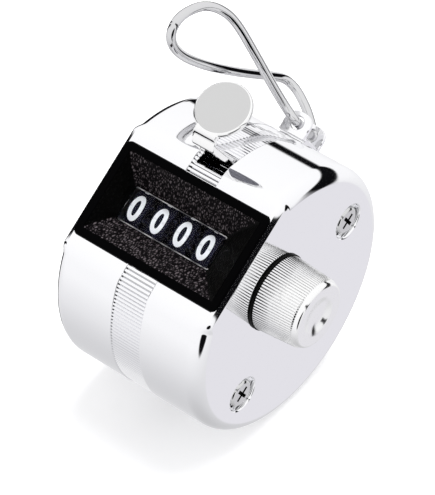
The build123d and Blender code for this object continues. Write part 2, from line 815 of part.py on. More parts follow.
rivet_out = body_radius + lug_sheet
rivet_in = ((body_radius - band_inner) ** 2 - (lug_middle + rivet_head_radius) ** 2) ** 0.5 - fit_clear
with BuildPart() as lug_rivet:
    with BuildSketch(Plane(origin=(-rivet_in, lug_middle, lug_center), z_dir=(-1, 0, 0))):
        Circle(rivet_radius)
    extrude(amount=rivet_out - rivet_in)
    with BuildSketch(Plane(origin=(-rivet_out, lug_middle, lug_center), z_dir=(-1, 0, 0))):
        Circle(rivet_head_radius)
    extrude(amount=rivet_head)
    fillet(edges().group_by(Axis.X)[0], rivet_head / 2)
    with BuildSketch(Plane(origin=(-rivet_in, lug_middle, lug_center), z_dir=(1, 0, 0))):
        Circle(rivet_head_radius)
    extrude(amount=rivet_head)
finish("lug_rivet", lug_rivet)

# Finger ring: one wire, from the front ear round its crossed loop to the rear ear
ring_route = [(-lug_hole_up, 2 * lug_sheet - lug_front, lug_center),
              (-lug_hole_up, -lug_front - hook_bend - hook_stand, lug_center)]
ring_route += [(x - lug_hole_up, y, lug_center + z) for x, y, z in ring_loop]
ring_route += [(-lug_hole_up, lug_rear + hook_bend + hook_stand, lug_center),
               (-lug_hole_up, lug_rear - 2 * lug_sheet, lug_center)]


def bend_radii(route):
    """Bend at each corner: as large as its two runs allow, but tight where the ends hook into the lug."""
    radii = []
    for before, here, after in zip(route, route[1:], route[2:]):
        first = Vector(*here) - Vector(*before)
        second = Vector(*after) - Vector(*here)
        turn = radians(first.get_angle(second))
        radii.append(bend_share * min(first.length, second.length) / tan(turn / 2))
    radii[0] = radii[-1] = hook_bend
    return radii


with BuildPart() as finger_ring:
    with BuildLine() as wire:
        FilletPolyline(*ring_route, radius=bend_radii(ring_route))
    with BuildSketch(Plane(origin=wire.line @ 0, z_dir=wire.line % 0)):
        Circle(wire_radius)
    sweep()
finish("finger_ring", finger_ring)
print("ring bends", [round(r, 1) for r in bend_radii(ring_route)])
print("ring wire", round(wire.wires()[0].length, 1), "mm, volume over section",
      round(finger_ring.part.volume / (pi * wire_radius ** 2), 1), "mm")
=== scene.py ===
# %% [markdown]
# # A chromed lap counter
# The counter is loaded as a fixed frame of parts in metres. Every piece made here is dressed over one
# of those parts, in the same place, and moves with the same body. Its wheels turn about the Z axis,
# its window looks towards -Y, and "up" for a reader of the numerals is -X.

# %% Load the frame
from math import acos, asin, atan2, cos, degrees, pi, radians, sin, sqrt, tan

import bmesh
import bpy
from mathutils import Matrix, Vector


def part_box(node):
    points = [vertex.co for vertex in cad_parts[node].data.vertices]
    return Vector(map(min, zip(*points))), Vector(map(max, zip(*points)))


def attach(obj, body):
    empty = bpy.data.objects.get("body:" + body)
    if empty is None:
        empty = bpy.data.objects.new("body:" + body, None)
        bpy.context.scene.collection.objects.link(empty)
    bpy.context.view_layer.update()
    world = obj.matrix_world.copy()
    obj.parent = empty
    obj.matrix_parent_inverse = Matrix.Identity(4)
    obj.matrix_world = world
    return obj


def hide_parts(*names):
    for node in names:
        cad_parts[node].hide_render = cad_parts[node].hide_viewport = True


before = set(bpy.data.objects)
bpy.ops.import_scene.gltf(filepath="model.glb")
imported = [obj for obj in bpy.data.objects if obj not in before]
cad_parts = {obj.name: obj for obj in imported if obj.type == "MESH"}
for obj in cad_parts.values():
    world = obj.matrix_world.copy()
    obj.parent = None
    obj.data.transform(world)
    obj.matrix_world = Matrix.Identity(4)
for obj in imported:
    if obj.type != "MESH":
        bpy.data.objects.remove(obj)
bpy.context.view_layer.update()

MM = 0.001
print("parts in the frame:", len(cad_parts))

# %% [markdown]
# ## The camera
# The photograph looks down on the counter as it lies on its round wall. The place and the turn of the
# camera were found by matching the corners of the bezel, the window and the screws.

# %% Place the camera
camera_data = bpy.data.cameras.new("photo_camera")
camera = bpy.data.objects.new("photo_camera", camera_data)
bpy.context.scene.collection.objects.link(camera)
camera_place = Vector((26.70, -387.01, 212.60)) * MM
view_right = Vector((-0.5220, 0.3608, 0.7729)).normalized()
view_back = Vector((0.0656, -0.8865, 0.4581)).normalized()
view_up = view_back.cross(view_right).normalized()
turn = Matrix((view_right, view_up, view_back)).transposed()
camera.matrix_world = Matrix.Translation(camera_place) @ turn.to_4x4()
camera_data.sensor_fit = "HORIZONTAL"
camera_data.sensor_width = 36.0
camera_data.lens = 36.0 * 2916.5 / 435
camera_data.clip_start = 0.01
camera_data.clip_end = 10.0
bpy.context.scene.camera = camera
print("camera lens:", round(camera_data.lens, 1), "mm")

# %% [markdown]
# ## Materials from nodes
# Each finish is a Principled shader with small procedural differences: a little unevenness in the
# roughness of the plating, grain in the black moulding, turning marks on a shaft. Values that are the
# same all over a surface are set on the shader's own sockets.


# %% A helper for materials
def new_material(name, color, metallic, roughness):
    """A material with its Principled shader and an object-space texture coordinate."""
    material = bpy.data.materials.new(name)
    material.use_nodes = True
    shader = material.node_tree.nodes["Principled BSDF"]
    shader.inputs["Base Color"].default_value = (*color, 1)
    shader.inputs["Metallic"].default_value = metallic
    shader.inputs["Roughness"].default_value = roughness
    place = material.node_tree.nodes.new("ShaderNodeTexCoord")
    return material, shader, place.outputs["Object"]


def node(material, kind, **values):
    """Add a node; keys that name a socket set its value, other keys set a property."""
    made = material.node_tree.nodes.new("ShaderNode" + kind)
    for key, value in values.items():
        socket = key.replace("_", " ")
        if socket in made.inputs:
            made.inputs[socket].default_value = value
        else:
            setattr(made, key.lower(), value)
    return made


def join(material, source, target):
    """Link two sockets."""
    material.node_tree.links.new(source, target)


def spread(material, factor, low, high):
    """Map a factor from 0..1 to a range."""
    ranged = node(material, "MapRange", To_Min=low, To_Max=high)
    join(material, factor, ranged.inputs["Value"])
    return ranged.outputs["Result"]


# %% [markdown]
# Chrome on a drawn shell is never quite flat: it has a soft waviness, finger smudges and hairlines.
# The waviness is a very weak bump with a long wave, and the smudges change the roughness.


# %% Chrome
def chrome(name, color, roughness, wave):
    material, shader, place = new_material(name, color, 1.0, roughness)
    smudge = node(material, "TexNoise", Scale=160.0, Detail=4.0)
    join(material, place, smudge.inputs["Vector"])
    join(material, spread(material, smudge.outputs["Fac"], roughness * 0.5, roughness * 1.6),
         shader.inputs["Roughness"])
    ripple = node(material, "TexNoise", Scale=90.0, Detail=1.0)
    join(material, place, ripple.inputs["Vector"])
    bump = node(material, "Bump", Strength=wave, Distance=0.0002)
    join(material, ripple.outputs["Fac"], bump.inputs["Height"])
    join(material, bump.outputs["Normal"], shader.inputs["Normal"])
    return material


shell_chrome = chrome("shell_chrome", (0.90, 0.90, 0.915), 0.05, 0.05)
knob_chrome = chrome("knob_chrome", (0.90, 0.90, 0.90), 0.10, 0.05)
wire_chrome = chrome("wire_chrome", (0.66, 0.66, 0.67), 0.06, 0.05)
lever_chrome = chrome("lever_chrome", (0.88, 0.88, 0.88), 0.08, 0.04)


def grimy_groove(name, axis, near, far, dark, bright):
    """The bottom of a groove with painted shade: dark near one place, brighter away from it."""
    material, shader, place = new_material(name, (dark, dark, dark), 1.0, 0.2)
    parts = node(material, "SeparateXYZ")
    join(material, place, parts.inputs["Vector"])
    blotch = node(material, "TexNoise", Scale=400.0, Detail=2.0)
    join(material, place, blotch.inputs["Vector"])
    shifted = node(material, "Math", operation="MULTIPLY_ADD")
    join(material, blotch.outputs["Fac"], shifted.inputs[0])
    shifted.inputs[1].default_value = 0.003
    join(material, parts.outputs[axis], shifted.inputs[2])
    along = node(material, "MapRange", From_Min=near, From_Max=far)
    join(material, shifted.outputs["Value"], along.inputs["Value"])
    ramp = node(material, "ValToRGB")
    ramp.color_ramp.elements[0].color = (dark, dark, dark, 1)
    ramp.color_ramp.elements[1].color = (bright, bright, bright, 1)
    join(material, along.outputs["Result"], ramp.inputs["Fac"])
    join(material, ramp.outputs["Color"], shader.inputs["Base Color"])
    return material


# Painted shade in the band's groove bottoms: near-black towards -X, lighter towards +X.
band_groove_shade = grimy_groove("band_groove_shade", "X", -0.010, 0.008, 0.01, 0.50)
# Two darker copies of the lever chrome for the pad: painted shade on its face and, darker still, on its back.
pad_face_shade = chrome("pad_face_shade", (0.61, 0.61, 0.61), 0.16, 0.04)
pad_back_shade = chrome("pad_back_shade", (0.22, 0.22, 0.25), 0.20, 0.04)
print("chrome finishes: 6")

# %% [markdown]
# The bezel is one black moulding with two finishes: a gloss rim and grained slopes. The grain is like
# leather, with flat-topped cells of about 0.4 mm between fine creases. A Voronoi texture measured to
# the cell's edge gives the creases, and a noise bends it so that no cell is regular. The pale tops of the
# cells on the top and bottom slopes are painted sheen, and the side slopes take a near-black copy of
# the grain, which is painted shade.


# %% Black moulding
def black_gloss():
    material, shader, place = new_material("bezel_gloss", (0.0006, 0.0006, 0.0008), 0.0, 0.2)
    shader.inputs["Specular IOR Level"].default_value = 0.015
    haze = node(material, "TexNoise", Scale=900.0, Detail=3.0)
    join(material, place, haze.inputs["Vector"])
    join(material, spread(material, haze.outputs["Fac"], 0.10, 0.24), shader.inputs["Roughness"])
    return material


def black_grain(name, hollow, land, relief):
    """Leather grain: hollow and land are the tones of the creases and of the cells between them."""
    material, shader, place = new_material(name, land, 0.0, 0.42)
    shader.inputs["Specular IOR Level"].default_value = 0.06
    bend = node(material, "TexNoise", Scale=1100.0, Detail=2.0)
    join(material, place, bend.inputs["Vector"])
    shift = node(material, "VectorMath", operation="SCALE")
    shift.inputs["Scale"].default_value = 0.0005
    join(material, bend.outputs["Color"], shift.inputs[0])
    moved = node(material, "VectorMath", operation="ADD")
    wrinkled = node(material, "Mapping")
    wrinkled.inputs["Scale"].default_value = (0.5, 0.6, 1.0)
    join(material, place, wrinkled.inputs["Vector"])
    join(material, wrinkled.outputs["Vector"], moved.inputs[0])
    join(material, shift.outputs["Vector"], moved.inputs[1])
    cells = node(material, "TexVoronoi", Scale=2900.0)
    cells.feature = "DISTANCE_TO_EDGE"
    join(material, moved.outputs["Vector"], cells.inputs["Vector"])
    top = node(material, "MapRange", From_Min=0.12, From_Max=0.34)
    top.interpolation_type = "SMOOTHSTEP"
    join(material, cells.outputs["Distance"], top.inputs["Value"])
    bump = node(material, "Bump", Strength=relief, Distance=0.00012)
    join(material, top.outputs["Result"], bump.inputs["Height"])
    join(material, bump.outputs["Normal"], shader.inputs["Normal"])
    tone = node(material, "MixRGB")
    tone.inputs["Color1"].default_value = (*hollow, 1)
    tone.inputs["Color2"].default_value = (*land, 1)
    join(material, top.outputs["Result"], tone.inputs["Fac"])
    join(material, tone.outputs["Color"], shader.inputs["Base Color"])
    return material


bezel_gloss = black_gloss()
# Painted sheen: the pale cell tops of the top and bottom slopes.
bezel_grain_sheen = black_grain("bezel_grain_sheen", (0.0015, 0.001, 0.0015), (0.125, 0.108, 0.116), 1.0)
# Painted shade: a near-black copy of the grain for the two side slopes.
bezel_side_shade = black_grain("bezel_side_shade", (0.0003, 0.0003, 0.0003), (0.002, 0.002, 0.002), 0.4)
print("bezel finishes:", bezel_gloss.name, bezel_grain_sheen.name, bezel_side_shade.name)


# %% [markdown]
# The remaining finishes: clear window, dark wheels, off-white numerals, brass, steel, spring wire,
# white mouldings and the black washer.


# %% Other finishes
def fine(name, color, metallic, roughness, scale, depth, stretch=(1, 1, 1)):
    """A plain finish with fine marks: moulded, turned or brushed, by how its noise is stretched."""
    material, shader, place = new_material(name, color, metallic, roughness)
    mapping = node(material, "Mapping")
    mapping.inputs["Scale"].default_value = stretch
    join(material, place, mapping.inputs["Vector"])
    marks = node(material, "TexNoise", Scale=scale, Detail=5.0)
    join(material, mapping.outputs["Vector"], marks.inputs["Vector"])
    join(material, spread(material, marks.outputs["Fac"], roughness * 0.7, roughness * 1.3),
         shader.inputs["Roughness"])
    bump = node(material, "Bump", Strength=depth, Distance=0.00003)
    join(material, marks.outputs["Fac"], bump.inputs["Height"])
    join(material, bump.outputs["Normal"], shader.inputs["Normal"])
    return material


wheel_dark = fine("wheel_dark", (0.006, 0.006, 0.017), 0.0, 0.5, 2500.0, 0.3)
wheel_dark.node_tree.nodes["Principled BSDF"].inputs["Specular IOR Level"].default_value = 0.08
numeral_white = fine("numeral_white", (0.96, 0.97, 1.0), 0.0, 0.55, 3000.0, 0.3)
plate_steel = fine("plate_steel", (0.60, 0.60, 0.62), 1.0, 0.32, 900.0, 0.4, (1, 12, 1))
pin_steel = fine("pin_steel", (0.62, 0.62, 0.64), 1.0, 0.22, 700.0, 0.3, (1, 1, 8))
spring_steel = fine("spring_steel", (0.45, 0.45, 0.48), 1.0, 0.28, 1500.0, 0.3)
brass = fine("brass", (0.72, 0.52, 0.22), 1.0, 0.28, 900.0, 0.3, (1, 1, 6))
pinion_white = fine("pinion_white", (0.72, 0.70, 0.64), 0.0, 0.5, 2200.0, 0.3)
washer_black = fine("washer_black", (0.002, 0.002, 0.002), 0.0, 0.35, 2500.0, 0.4)
washer_black.node_tree.nodes["Principled BSDF"].inputs["Specular IOR Level"].default_value = 0.05
screw_nickel = chrome("screw_nickel", (0.66, 0.66, 0.66), 0.14, 0.1)
# Painted shade for the sunk faces in the middle of each screw head.
screw_recess_shade = fine("screw_recess_shade", (0.004, 0.004, 0.004), 0.0, 0.5, 2500.0, 0.4)
screw_recess_shade.node_tree.nodes["Principled BSDF"].inputs["Specular IOR Level"].default_value = 0.1

window_clear, window_shader, window_place = new_material("window_clear", (0.96, 0.97, 0.98), 0.0, 0.02)
window_shader.inputs["Transmission Weight"].default_value = 1.0
window_shader.inputs["IOR"].default_value = 1.12
wipe = node(window_clear, "TexNoise", Scale=500.0, Detail=3.0)
join(window_clear, window_place, wipe.inputs["Vector"])
join(window_clear, spread(window_clear, wipe.outputs["Fac"], 0.0, 0.03), window_shader.inputs["Roughness"])
print("materials so far:", len(bpy.data.materials))

# %% [markdown]
# ## Helpers for pieces
# A piece is built in millimetres with bmesh operators and scaled to metres at the end, so that its
# object stays at the origin. The weighted-normal modifier keeps flat faces flat where they meet a
# rounded edge, which matters on mirror-bright chrome.


# %% Turn a bmesh into a piece
def piece(name, bm, body, nodes, slot, *materials, smooth=True, angle=32):
    """Finish a bmesh as an object that rides on a body and stands for CAD nodes."""
    bmesh.ops.recalc_face_normals(bm, faces=bm.faces)
    bmesh.ops.scale(bm, vec=(MM, MM, MM), verts=bm.verts)
    mesh = bpy.data.meshes.new(name)
    bm.to_mesh(mesh)
    bm.free()
    obj = bpy.data.objects.new(name, mesh)
    bpy.context.scene.collection.objects.link(obj)
    for material in materials:
        mesh.materials.append(material)
    for face in mesh.polygons:
        face.use_smooth = smooth
    if smooth:
        mesh.set_sharp_from_angle(angle=radians(angle))
        weighted = obj.modifiers.new("flat faces stay flat", "WEIGHTED_NORMAL")
        weighted.keep_sharp = True
        weighted.weight = 100
    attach(obj, body)
    if nodes:
        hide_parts(*nodes)
    print(name, "faces:", len(mesh.polygons))
    return obj


# %% [markdown]
# Many pieces here are an outline that is carried along a profile: a drawn cup, a knurled barrel, a
# dimple. The outline is a closed ring of edges. Each step extrudes the ring and moves its points, so
# the operator makes the faces and the formula only says where a point goes.


# %% Carry a ring along a profile
def start_ring(bm, places):
    """A closed ring of edges through the places; each point remembers its number."""
    number = bm.verts.layers.int.get("number") or bm.verts.layers.int.new("number")
    points = [bm.verts.new(place) for place in places]
    for i, point in enumerate(points):
        point[number] = i
    return [bm.edges.new((a, b)) for a, b in zip(points, points[1:] + points[:1])]


def carry_ring(bm, ring, place):
    """Extrude a ring and move point i of the new ring to place(i)."""
    number = bm.verts.layers.int.get("number")
    made = bmesh.ops.extrude_edge_only(bm, edges=ring)["geom"]
    for point in made:
        if isinstance(point, bmesh.types.BMVert):
            point.co = place(point[number])
    return [edge for edge in made if isinstance(edge, bmesh.types.BMEdge)
            and all(v in made for v in edge.verts) and edge.link_faces and len(edge.link_faces) == 1]


def circle_places(center, radius, z, count):
    """Points of a level circle."""
    return [Vector((center[0] + radius * cos(2 * pi * i / count),
                    center[1] + radius * sin(2 * pi * i / count), z)) for i in range(count)]


# %% [markdown]
# ## The case outline
# Seen along the wheels' axis the case is a circle of 21.75 mm cut by a flat 19 mm in front, with the
# two corners rounded by 1.1 mm. Each point carries its outward direction, and the radius by which the
# cup is rounded there: 2.4 mm round the cup and 1.1 mm along the front.

# %% Outline of the case
case_radius = 21.75
front_flat = 19.0
front_round = 1.1
rim_round = 2.4
corner_round = 4.0
corner_x = sqrt((case_radius - corner_round) ** 2 - (front_flat - corner_round) ** 2)
corner_turn = atan2(corner_x, front_flat - corner_round)
opening_half = 7.5


def case_outline(arc_steps=132, corner_steps=12):
    """List of (point, outward direction, rim radius), anticlockwise from the left end of the flat."""
    outline = []
    for x in (-corner_x, -opening_half, -2.5, 2.5, opening_half):
        outline.append((Vector((x, -front_flat, 0)), Vector((0, -1, 0)), front_round))
    center = Vector((corner_x, -(front_flat - corner_round), 0))
    for i in range(corner_steps):
        share = i / corner_steps
        angle = -pi / 2 + share * corner_turn
        out = Vector((cos(angle), sin(angle), 0))
        blend = share * share * (3 - 2 * share)
        outline.append((center + out * corner_round, out, front_round + (rim_round - front_round) * blend))
    first = -pi / 2 + corner_turn
    last = 1.5 * pi - corner_turn
    for i in range(arc_steps + 1):
        angle = first + (last - first) * i / arc_steps
        out = Vector((cos(angle), sin(angle), 0))
        outline.append((out * case_radius, out, rim_round))
    for i in range(1, corner_steps):
        share = 1 - i / corner_steps
        angle = -pi / 2 - share * corner_turn
        out = Vector((cos(angle), sin(angle), 0))
        blend = share * share * (3 - 2 * share)
        center = Vector((-corner_x, -(front_flat - corner_round), 0))
        outline.append((center + out * corner_round, out, front_round + (rim_round - front_round) * blend))
    return outline


outline = case_outline()
print("points in the case outline:", len(outline))

# %% [markdown]
# ## The two covers
# Each cover is one drawn cup: the open edge is turned in a little, the wall runs to the rounded rim,
# and the flat end has two dimples in which the screws sit. The wall gets its thickness from a Solidify
# modifier, as sheet metal has it, and the opening for the bezel is left out of the front wall.

# %% Covers
cover_wall = 0.8
dimple_depth = 1.2
dimple_radius = 2.65
dimple_flare = 0.2
screw_spots = [(-15.0, 1.8), (15.0, 1.8)]
rim_steps = 10


def cover(name, face_z, away, depth, shaft_hole):
    """A cup with its flat end at face_z, reaching away (+1 or -1) from it along Z."""
    bm = bmesh.new()
    edge_round = 0.16

    def lie(inset, height):
        """Where point i of the outline lies, moved in by inset(r) at height(r)."""
        def place(i):
            point, out, r = outline[i]
            spot = point - out * inset(r)
            return Vector((spot.x, spot.y, face_z + away * height(r)))
        return place

    ring = start_ring(bm, [lie(lambda r: edge_round, lambda r: depth)(i) for i in range(len(outline))])
    for k in (1, 2, 3):
        angle = k * pi / 6
        ring = carry_ring(bm, ring, lie(lambda r: edge_round * (1 - sin(angle)),
                                        lambda r: depth - edge_round * (1 - cos(angle))))
    ring = carry_ring(bm, ring, lie(lambda r: 0.0, lambda r: r))
    for k in range(1, rim_steps + 1):
        angle = k * pi / 2 / rim_steps
        ring = carry_ring(bm, ring, lie(lambda r: r * (1 - cos(angle)), lambda r: r * (1 - sin(angle))))
    rings = list(ring)
    lip = 0.2
    for spot in screw_spots:
        top = dimple_radius + dimple_flare + lip
        hole = start_ring(bm, circle_places(spot, top + 0.4, face_z, 64))
        rings += hole
        for radius, height in ((top, 0.0), (top - lip * 0.35, 0.02), (top - lip * 0.7, 0.09), (top - lip, 0.22),
                               (dimple_radius + 0.12, dimple_depth - 0.18),
                               (dimple_radius - 0.1, dimple_depth)):
            spots = circle_places(spot, radius, face_z + away * height, 64)
            hole = carry_ring(bm, hole, lambda i: spots[i])
        bmesh.ops.edgeloop_fill(bm, edges=hole)
    if shaft_hole:
        hole = start_ring(bm, circle_places((0, -6.8), 3.6, face_z, 64))
        rings += hole
        spots = circle_places((0, -6.8), 2.7, face_z, 64)
        carry_ring(bm, hole, lambda i: spots[i])
    bmesh.ops.triangle_fill(bm, edges=rings, use_beauty=True)
    front = []
    for f in bm.faces:
        spot = f.calc_center_median()
        if abs(spot.x) < opening_half and spot.y < 0.5 - front_flat and away * (spot.z - face_z) > 1.15:
            front.append(f)
    bmesh.ops.delete(bm, geom=front, context="FACES")
    return bm


def with_wall(obj, thickness):
    """Give a shell the thickness of its sheet, before its normals are weighted."""
    wall = obj.modifiers.new("sheet metal", "SOLIDIFY")
    wall.thickness = thickness * MM
    wall.offset = -1
    obj.modifiers.move(1, 0)
    return obj


left_cover = with_wall(piece("drawn_left_cover", cover("left", 0.0, 1, 11.5, False), "case",
                             ["left_cover"], "shell_chrome", shell_chrome), cover_wall)
right_cover = with_wall(piece("drawn_right_cover", cover("right", 28.0, -1, 11.0, True), "case",
                              ["right_cover"], "shell_chrome", shell_chrome), cover_wall)

# %% [markdown]
# ## The ribbed band
# The band between the covers is milled with fine grooves. Its outline follows the case, and each rib
# takes four points: two on its land and two beside the bottom of the groove. The band stands 0.1 mm
# below the covers, so a fine dark line shows along both seams. It is cut out for the bezel in front
# and for the lever's arm on top.

# %% Band
band_low, band_high = 11.5, 17.0
band_inset = 0.1
rib_pitch = 0.62
rib_depth = 0.25
slot_right, slot_left = -9.57, -12.91
slot_low = 12.1


def band_place(angle, depth):
    """A point of the case outline at an angle about the axis, moved in by depth."""
    way = Vector((cos(angle), sin(angle), 0))
    reach = case_radius
    if -way.y > 0:
        reach = min(reach, front_flat / -way.y)
    center = Vector((corner_x if way.x > 0 else -corner_x, corner_round - front_flat, 0))
    side = abs(way.x) / max(-way.y, 0.001)
    if way.y < 0 and corner_x / front_flat < side < corner_x / (front_flat - corner_round):
        along = way.dot(center)
        reach = along + sqrt(along * along - center.length_squared + corner_round ** 2)
    return way * (reach - depth)


rib_count = int(2 * pi * case_radius / rib_pitch)
groove = [(0.0, 0.0), (0.56, 0.0), (0.66, rib_depth), (0.88, rib_depth)]
band_points = []
for i in range(rib_count):
    for share, depth in groove:
        band_points.append(band_place(2 * pi * (i + share) / rib_count - pi / 2, band_inset + depth))


def band():
    bm = bmesh.new()

    def at(z, inset):
        return lambda i: Vector((band_points[i].x, band_points[i].y, z)) * 1.0 - Vector(
            (band_points[i].x, band_points[i].y, 0)).normalized() * inset

    count = range(len(band_points))
    ring = start_ring(bm, [at(band_low - 0.4, 1.2)(i) for i in count])
    ring = carry_ring(bm, ring, at(band_low, 0.0))
    ring = carry_ring(bm, ring, at(slot_low, 0.0))
    ring = carry_ring(bm, ring, at(band_high, 0.0))
    carry_ring(bm, ring, at(band_high + 0.4, 1.2))
    opened = []
    for f in bm.faces:
        c = f.calc_center_median()
        in_front = c.y < -16 and abs(c.x) < opening_half
        in_slot = slot_left < c.x < slot_right and c.y < 0 and c.z > slot_low
        if in_front or in_slot:
            opened.append(f)
    bmesh.ops.delete(bm, geom=opened, context="FACES")
    number = bm.verts.layers.int.get("number")
    # The faces at the bottom of each groove take the painted groove shade.
    for f in bm.faces:
        places = {v[number] % len(groove) for v in f.verts}
        f.material_index = 1 if places == {2, 3} else 0
    return bm


ribbed_band = with_wall(piece("ribbed_band", band(), "case", ["centre_band"], "shell_chrome",
                              shell_chrome, band_groove_shade), 0.9)

# %% [markdown]
# ## The bezel
# A frame with a rounded gloss rim, from which four grained slopes run down to the window. It starts as
# a rectangle of edges with rounded corners, which is carried over the rim and down the slopes. The
# slopes get the grained material by where their faces lie: the top and bottom slopes the one with
# painted sheen, the two side slopes the near-black one with painted shade.

# %% Bezel
flange = (0.73, 27.6, 7.9)
mouth = (2.03, 26.3, 6.6)
window = (3.9, 21.2, 2.83)
rim_y = -(front_flat + 0.35)
window_y = -(front_flat - 3.4)


def rounded_rectangle(low, high, half, corner, y, steps=5):
    """Points of a rectangle in a plane that faces -Y, with rounded corners."""
    places = []
    for cx, cz, start in ((half - corner, high - corner, 0), (-half + corner, high - corner, 1),
                          (-half + corner, low + corner, 2), (half - corner, low + corner, 3)):
        for k in range(steps + 1):
            angle = (start + k / steps) * pi / 2
            places.append(Vector((cx + corner * cos(angle), y, cz + corner * sin(angle))))
    return places


def bezel():
    bm = bmesh.new()
    low, high, half = flange
    steps = [rounded_rectangle(low + 1.6, high - 1.6, half - 1.6, 0.2, -18.3),
             rounded_rectangle(low + 0.05, high - 0.05, half - 0.05, 0.9, -18.98),
             rounded_rectangle(low, high, half, 0.9, -19.06),
             rounded_rectangle(low + 0.06, high - 0.06, half - 0.06, 0.85, rim_y + 0.13),
             rounded_rectangle(low + 0.17, high - 0.17, half - 0.17, 0.8, rim_y + 0.03),
             rounded_rectangle(low + 0.32, high - 0.32, half - 0.32, 0.7, rim_y)]
    low, high, half = mouth
    steps += [rounded_rectangle(low - 0.12, high + 0.12, half + 0.12, 0.42, rim_y),
              rounded_rectangle(low - 0.03, high + 0.03, half + 0.03, 0.36, rim_y + 0.04),
              rounded_rectangle(low + 0.05, high - 0.07, half - 0.03, 0.32, rim_y + 0.14)]
    low, high, half = window
    steps += [rounded_rectangle(low - 0.1, high + 0.1, half + 0.1, 0.34, window_y - 0.06),
              rounded_rectangle(low - 0.02, high + 0.02, half + 0.02, 0.30, window_y),
              rounded_rectangle(low, high, half, 0.3, window_y + 0.1),
              rounded_rectangle(low, high, half, 0.3, -15.2),
              rounded_rectangle(low - 1.0, high + 1.0, half + 1.0, 0.3, -15.2),
              rounded_rectangle(low - 1.15, high + 1.15, half + 1.15, 0.45, -15.5)]
    ring = start_ring(bm, steps[0])
    slope = []
    for n, places in enumerate(steps[1:] + steps[:1]):
        before = set(bm.faces)
        ring = carry_ring(bm, ring, lambda i: places[i])
        if n == 8:
            slope = [f for f in bm.faces if f not in before]
    bmesh.ops.remove_doubles(bm, verts=bm.verts, dist=0.001)
    for f in slope:
        if f.is_valid:
            spot = f.calc_center_median()
            from_middle = abs(spot.z - (low + high) / 2) - (high - low) / 2
            # Side slopes take the near-black grain with painted shade; the others the grain with painted sheen.
            f.material_index = 2 if from_middle > abs(spot.x) - half else 1
    return bm


bezel_piece = piece("moulded_bezel", bezel(), "case", ["bezel"], "bezel_black", bezel_gloss, bezel_grain_sheen,
                    bezel_side_shade)

# %% [markdown]
# ## The window
# A clear strip behind the bezel. Its front edges are bevelled a little, as on a cut sheet, so that
# they catch a line of light. On the long chamfers that line is painted highlight, in bright and dull dashes.


# %% Window
def block(low, high, bevel):
    """A box between two corners with all its edges bevelled."""
    bm = bmesh.new()
    low, high = Vector(low), Vector(high)
    bmesh.ops.create_cube(bm, size=1.0)
    bmesh.ops.scale(bm, vec=high - low, verts=bm.verts)
    bmesh.ops.translate(bm, vec=(low + high) / 2, verts=bm.verts)
    if bevel:
        bmesh.ops.bevel(bm, geom=list(bm.edges), offset=bevel, segments=3, profile=0.5, affect="EDGES",
                        material=-1)
    return bm


def pane():
    """The sheet behind the bezel with its raised middle, whose long chamfers take the painted highlight."""
    sheet_low, sheet_high = (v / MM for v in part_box("lens"))
    back, front, wide = sheet_high.y, sheet_low.y, sheet_high.x
    low, high, half = window
    steps = [rounded_rectangle(sheet_low.z, sheet_high.z, wide, 0.4, back),
             rounded_rectangle(sheet_low.z, sheet_high.z, wide, 0.4, front + 0.08),
             rounded_rectangle(sheet_low.z + 0.08, sheet_high.z - 0.08, wide - 0.08, 0.32, front),
             rounded_rectangle(low + 0.03, high - 0.03, half - 0.03, 0.28, front),
             rounded_rectangle(low + 0.03, high - 0.03, half - 0.03, 0.28, window_y + 0.25),
             rounded_rectangle(low + 0.18, high - 0.18, half - 0.18, 0.14, window_y + 0.13)]
    bm = bmesh.new()
    ring = start_ring(bm, steps[0])
    bmesh.ops.edgeloop_fill(bm, edges=ring)
    for places in steps[1:]:
        before = set(bm.faces)
        ring = carry_ring(bm, ring, lambda i: places[i])
    # The long chamfers take the painted highlight dashes.
    for f in set(bm.faces) - before:
        f.material_index = 1 if abs(f.calc_center_median().x) > half - 0.3 else 0
    bmesh.ops.edgeloop_fill(bm, edges=ring)
    return bm


def frosted_edge():
    """The long chamfers of the pane: painted highlight, bright dashes between dull patches."""
    material, shader, place = new_material("window_edge_glints", (0.6, 0.6, 0.62), 0.0, 0.4)
    blotch = node(material, "TexNoise", Scale=600.0, Detail=3.0)
    join(material, place, blotch.inputs["Vector"])
    ramp = node(material, "ValToRGB")
    ramp.color_ramp.elements[0].position = 0.40
    ramp.color_ramp.elements[0].color = (0.16, 0.16, 0.17, 1)
    ramp.color_ramp.elements[1].position = 0.56
    ramp.color_ramp.elements[1].color = (0.95, 0.95, 0.97, 1)
    join(material, blotch.outputs["Fac"], ramp.inputs["Fac"])
    join(material, ramp.outputs["Color"], shader.inputs["Base Color"])
    return material


clear_lens = piece("clear_lens", pane(), "case", ["lens"], "window_clear", window_clear, frosted_edge())

# %% [markdown]
# ## The number wheels
# Each wheel is a dark drum of 7.6 mm radius with rounded edges. Its ten numerals are printed: they
# start as text, are made a mesh, and are wrapped round the drum a hair above its face. Numeral d
# stands 36 degrees times d before the window, so that the next one comes down as the wheel counts.

# %% Wheels
wheel_axis = Vector((0, -6.8, 0))
wheel_radius = 7.6
wheel_pitch = 4.37
bank_center = 12.04
wheel_rim = 3.0
wheel_bodies = ["thousands", "hundreds", "tens", "units"]
numeral_height = 4.2
numeral_width = 2.75
stroke_growth = 0.03
numeral_shift = -0.2


def lathe(profile, center, steps=96):
    """Spin a closed profile of (radius, z) about a vertical axis."""
    bm = bmesh.new()
    ring = start_ring(bm, circle_places(center, profile[0][0], profile[0][1], steps))
    for radius, z in list(profile[1:]) + [profile[0]]:
        places = circle_places(center, radius, z, steps)
        ring = carry_ring(bm, ring, lambda i: places[i])
    bmesh.ops.remove_doubles(bm, verts=bm.verts, dist=0.0005)
    return bm


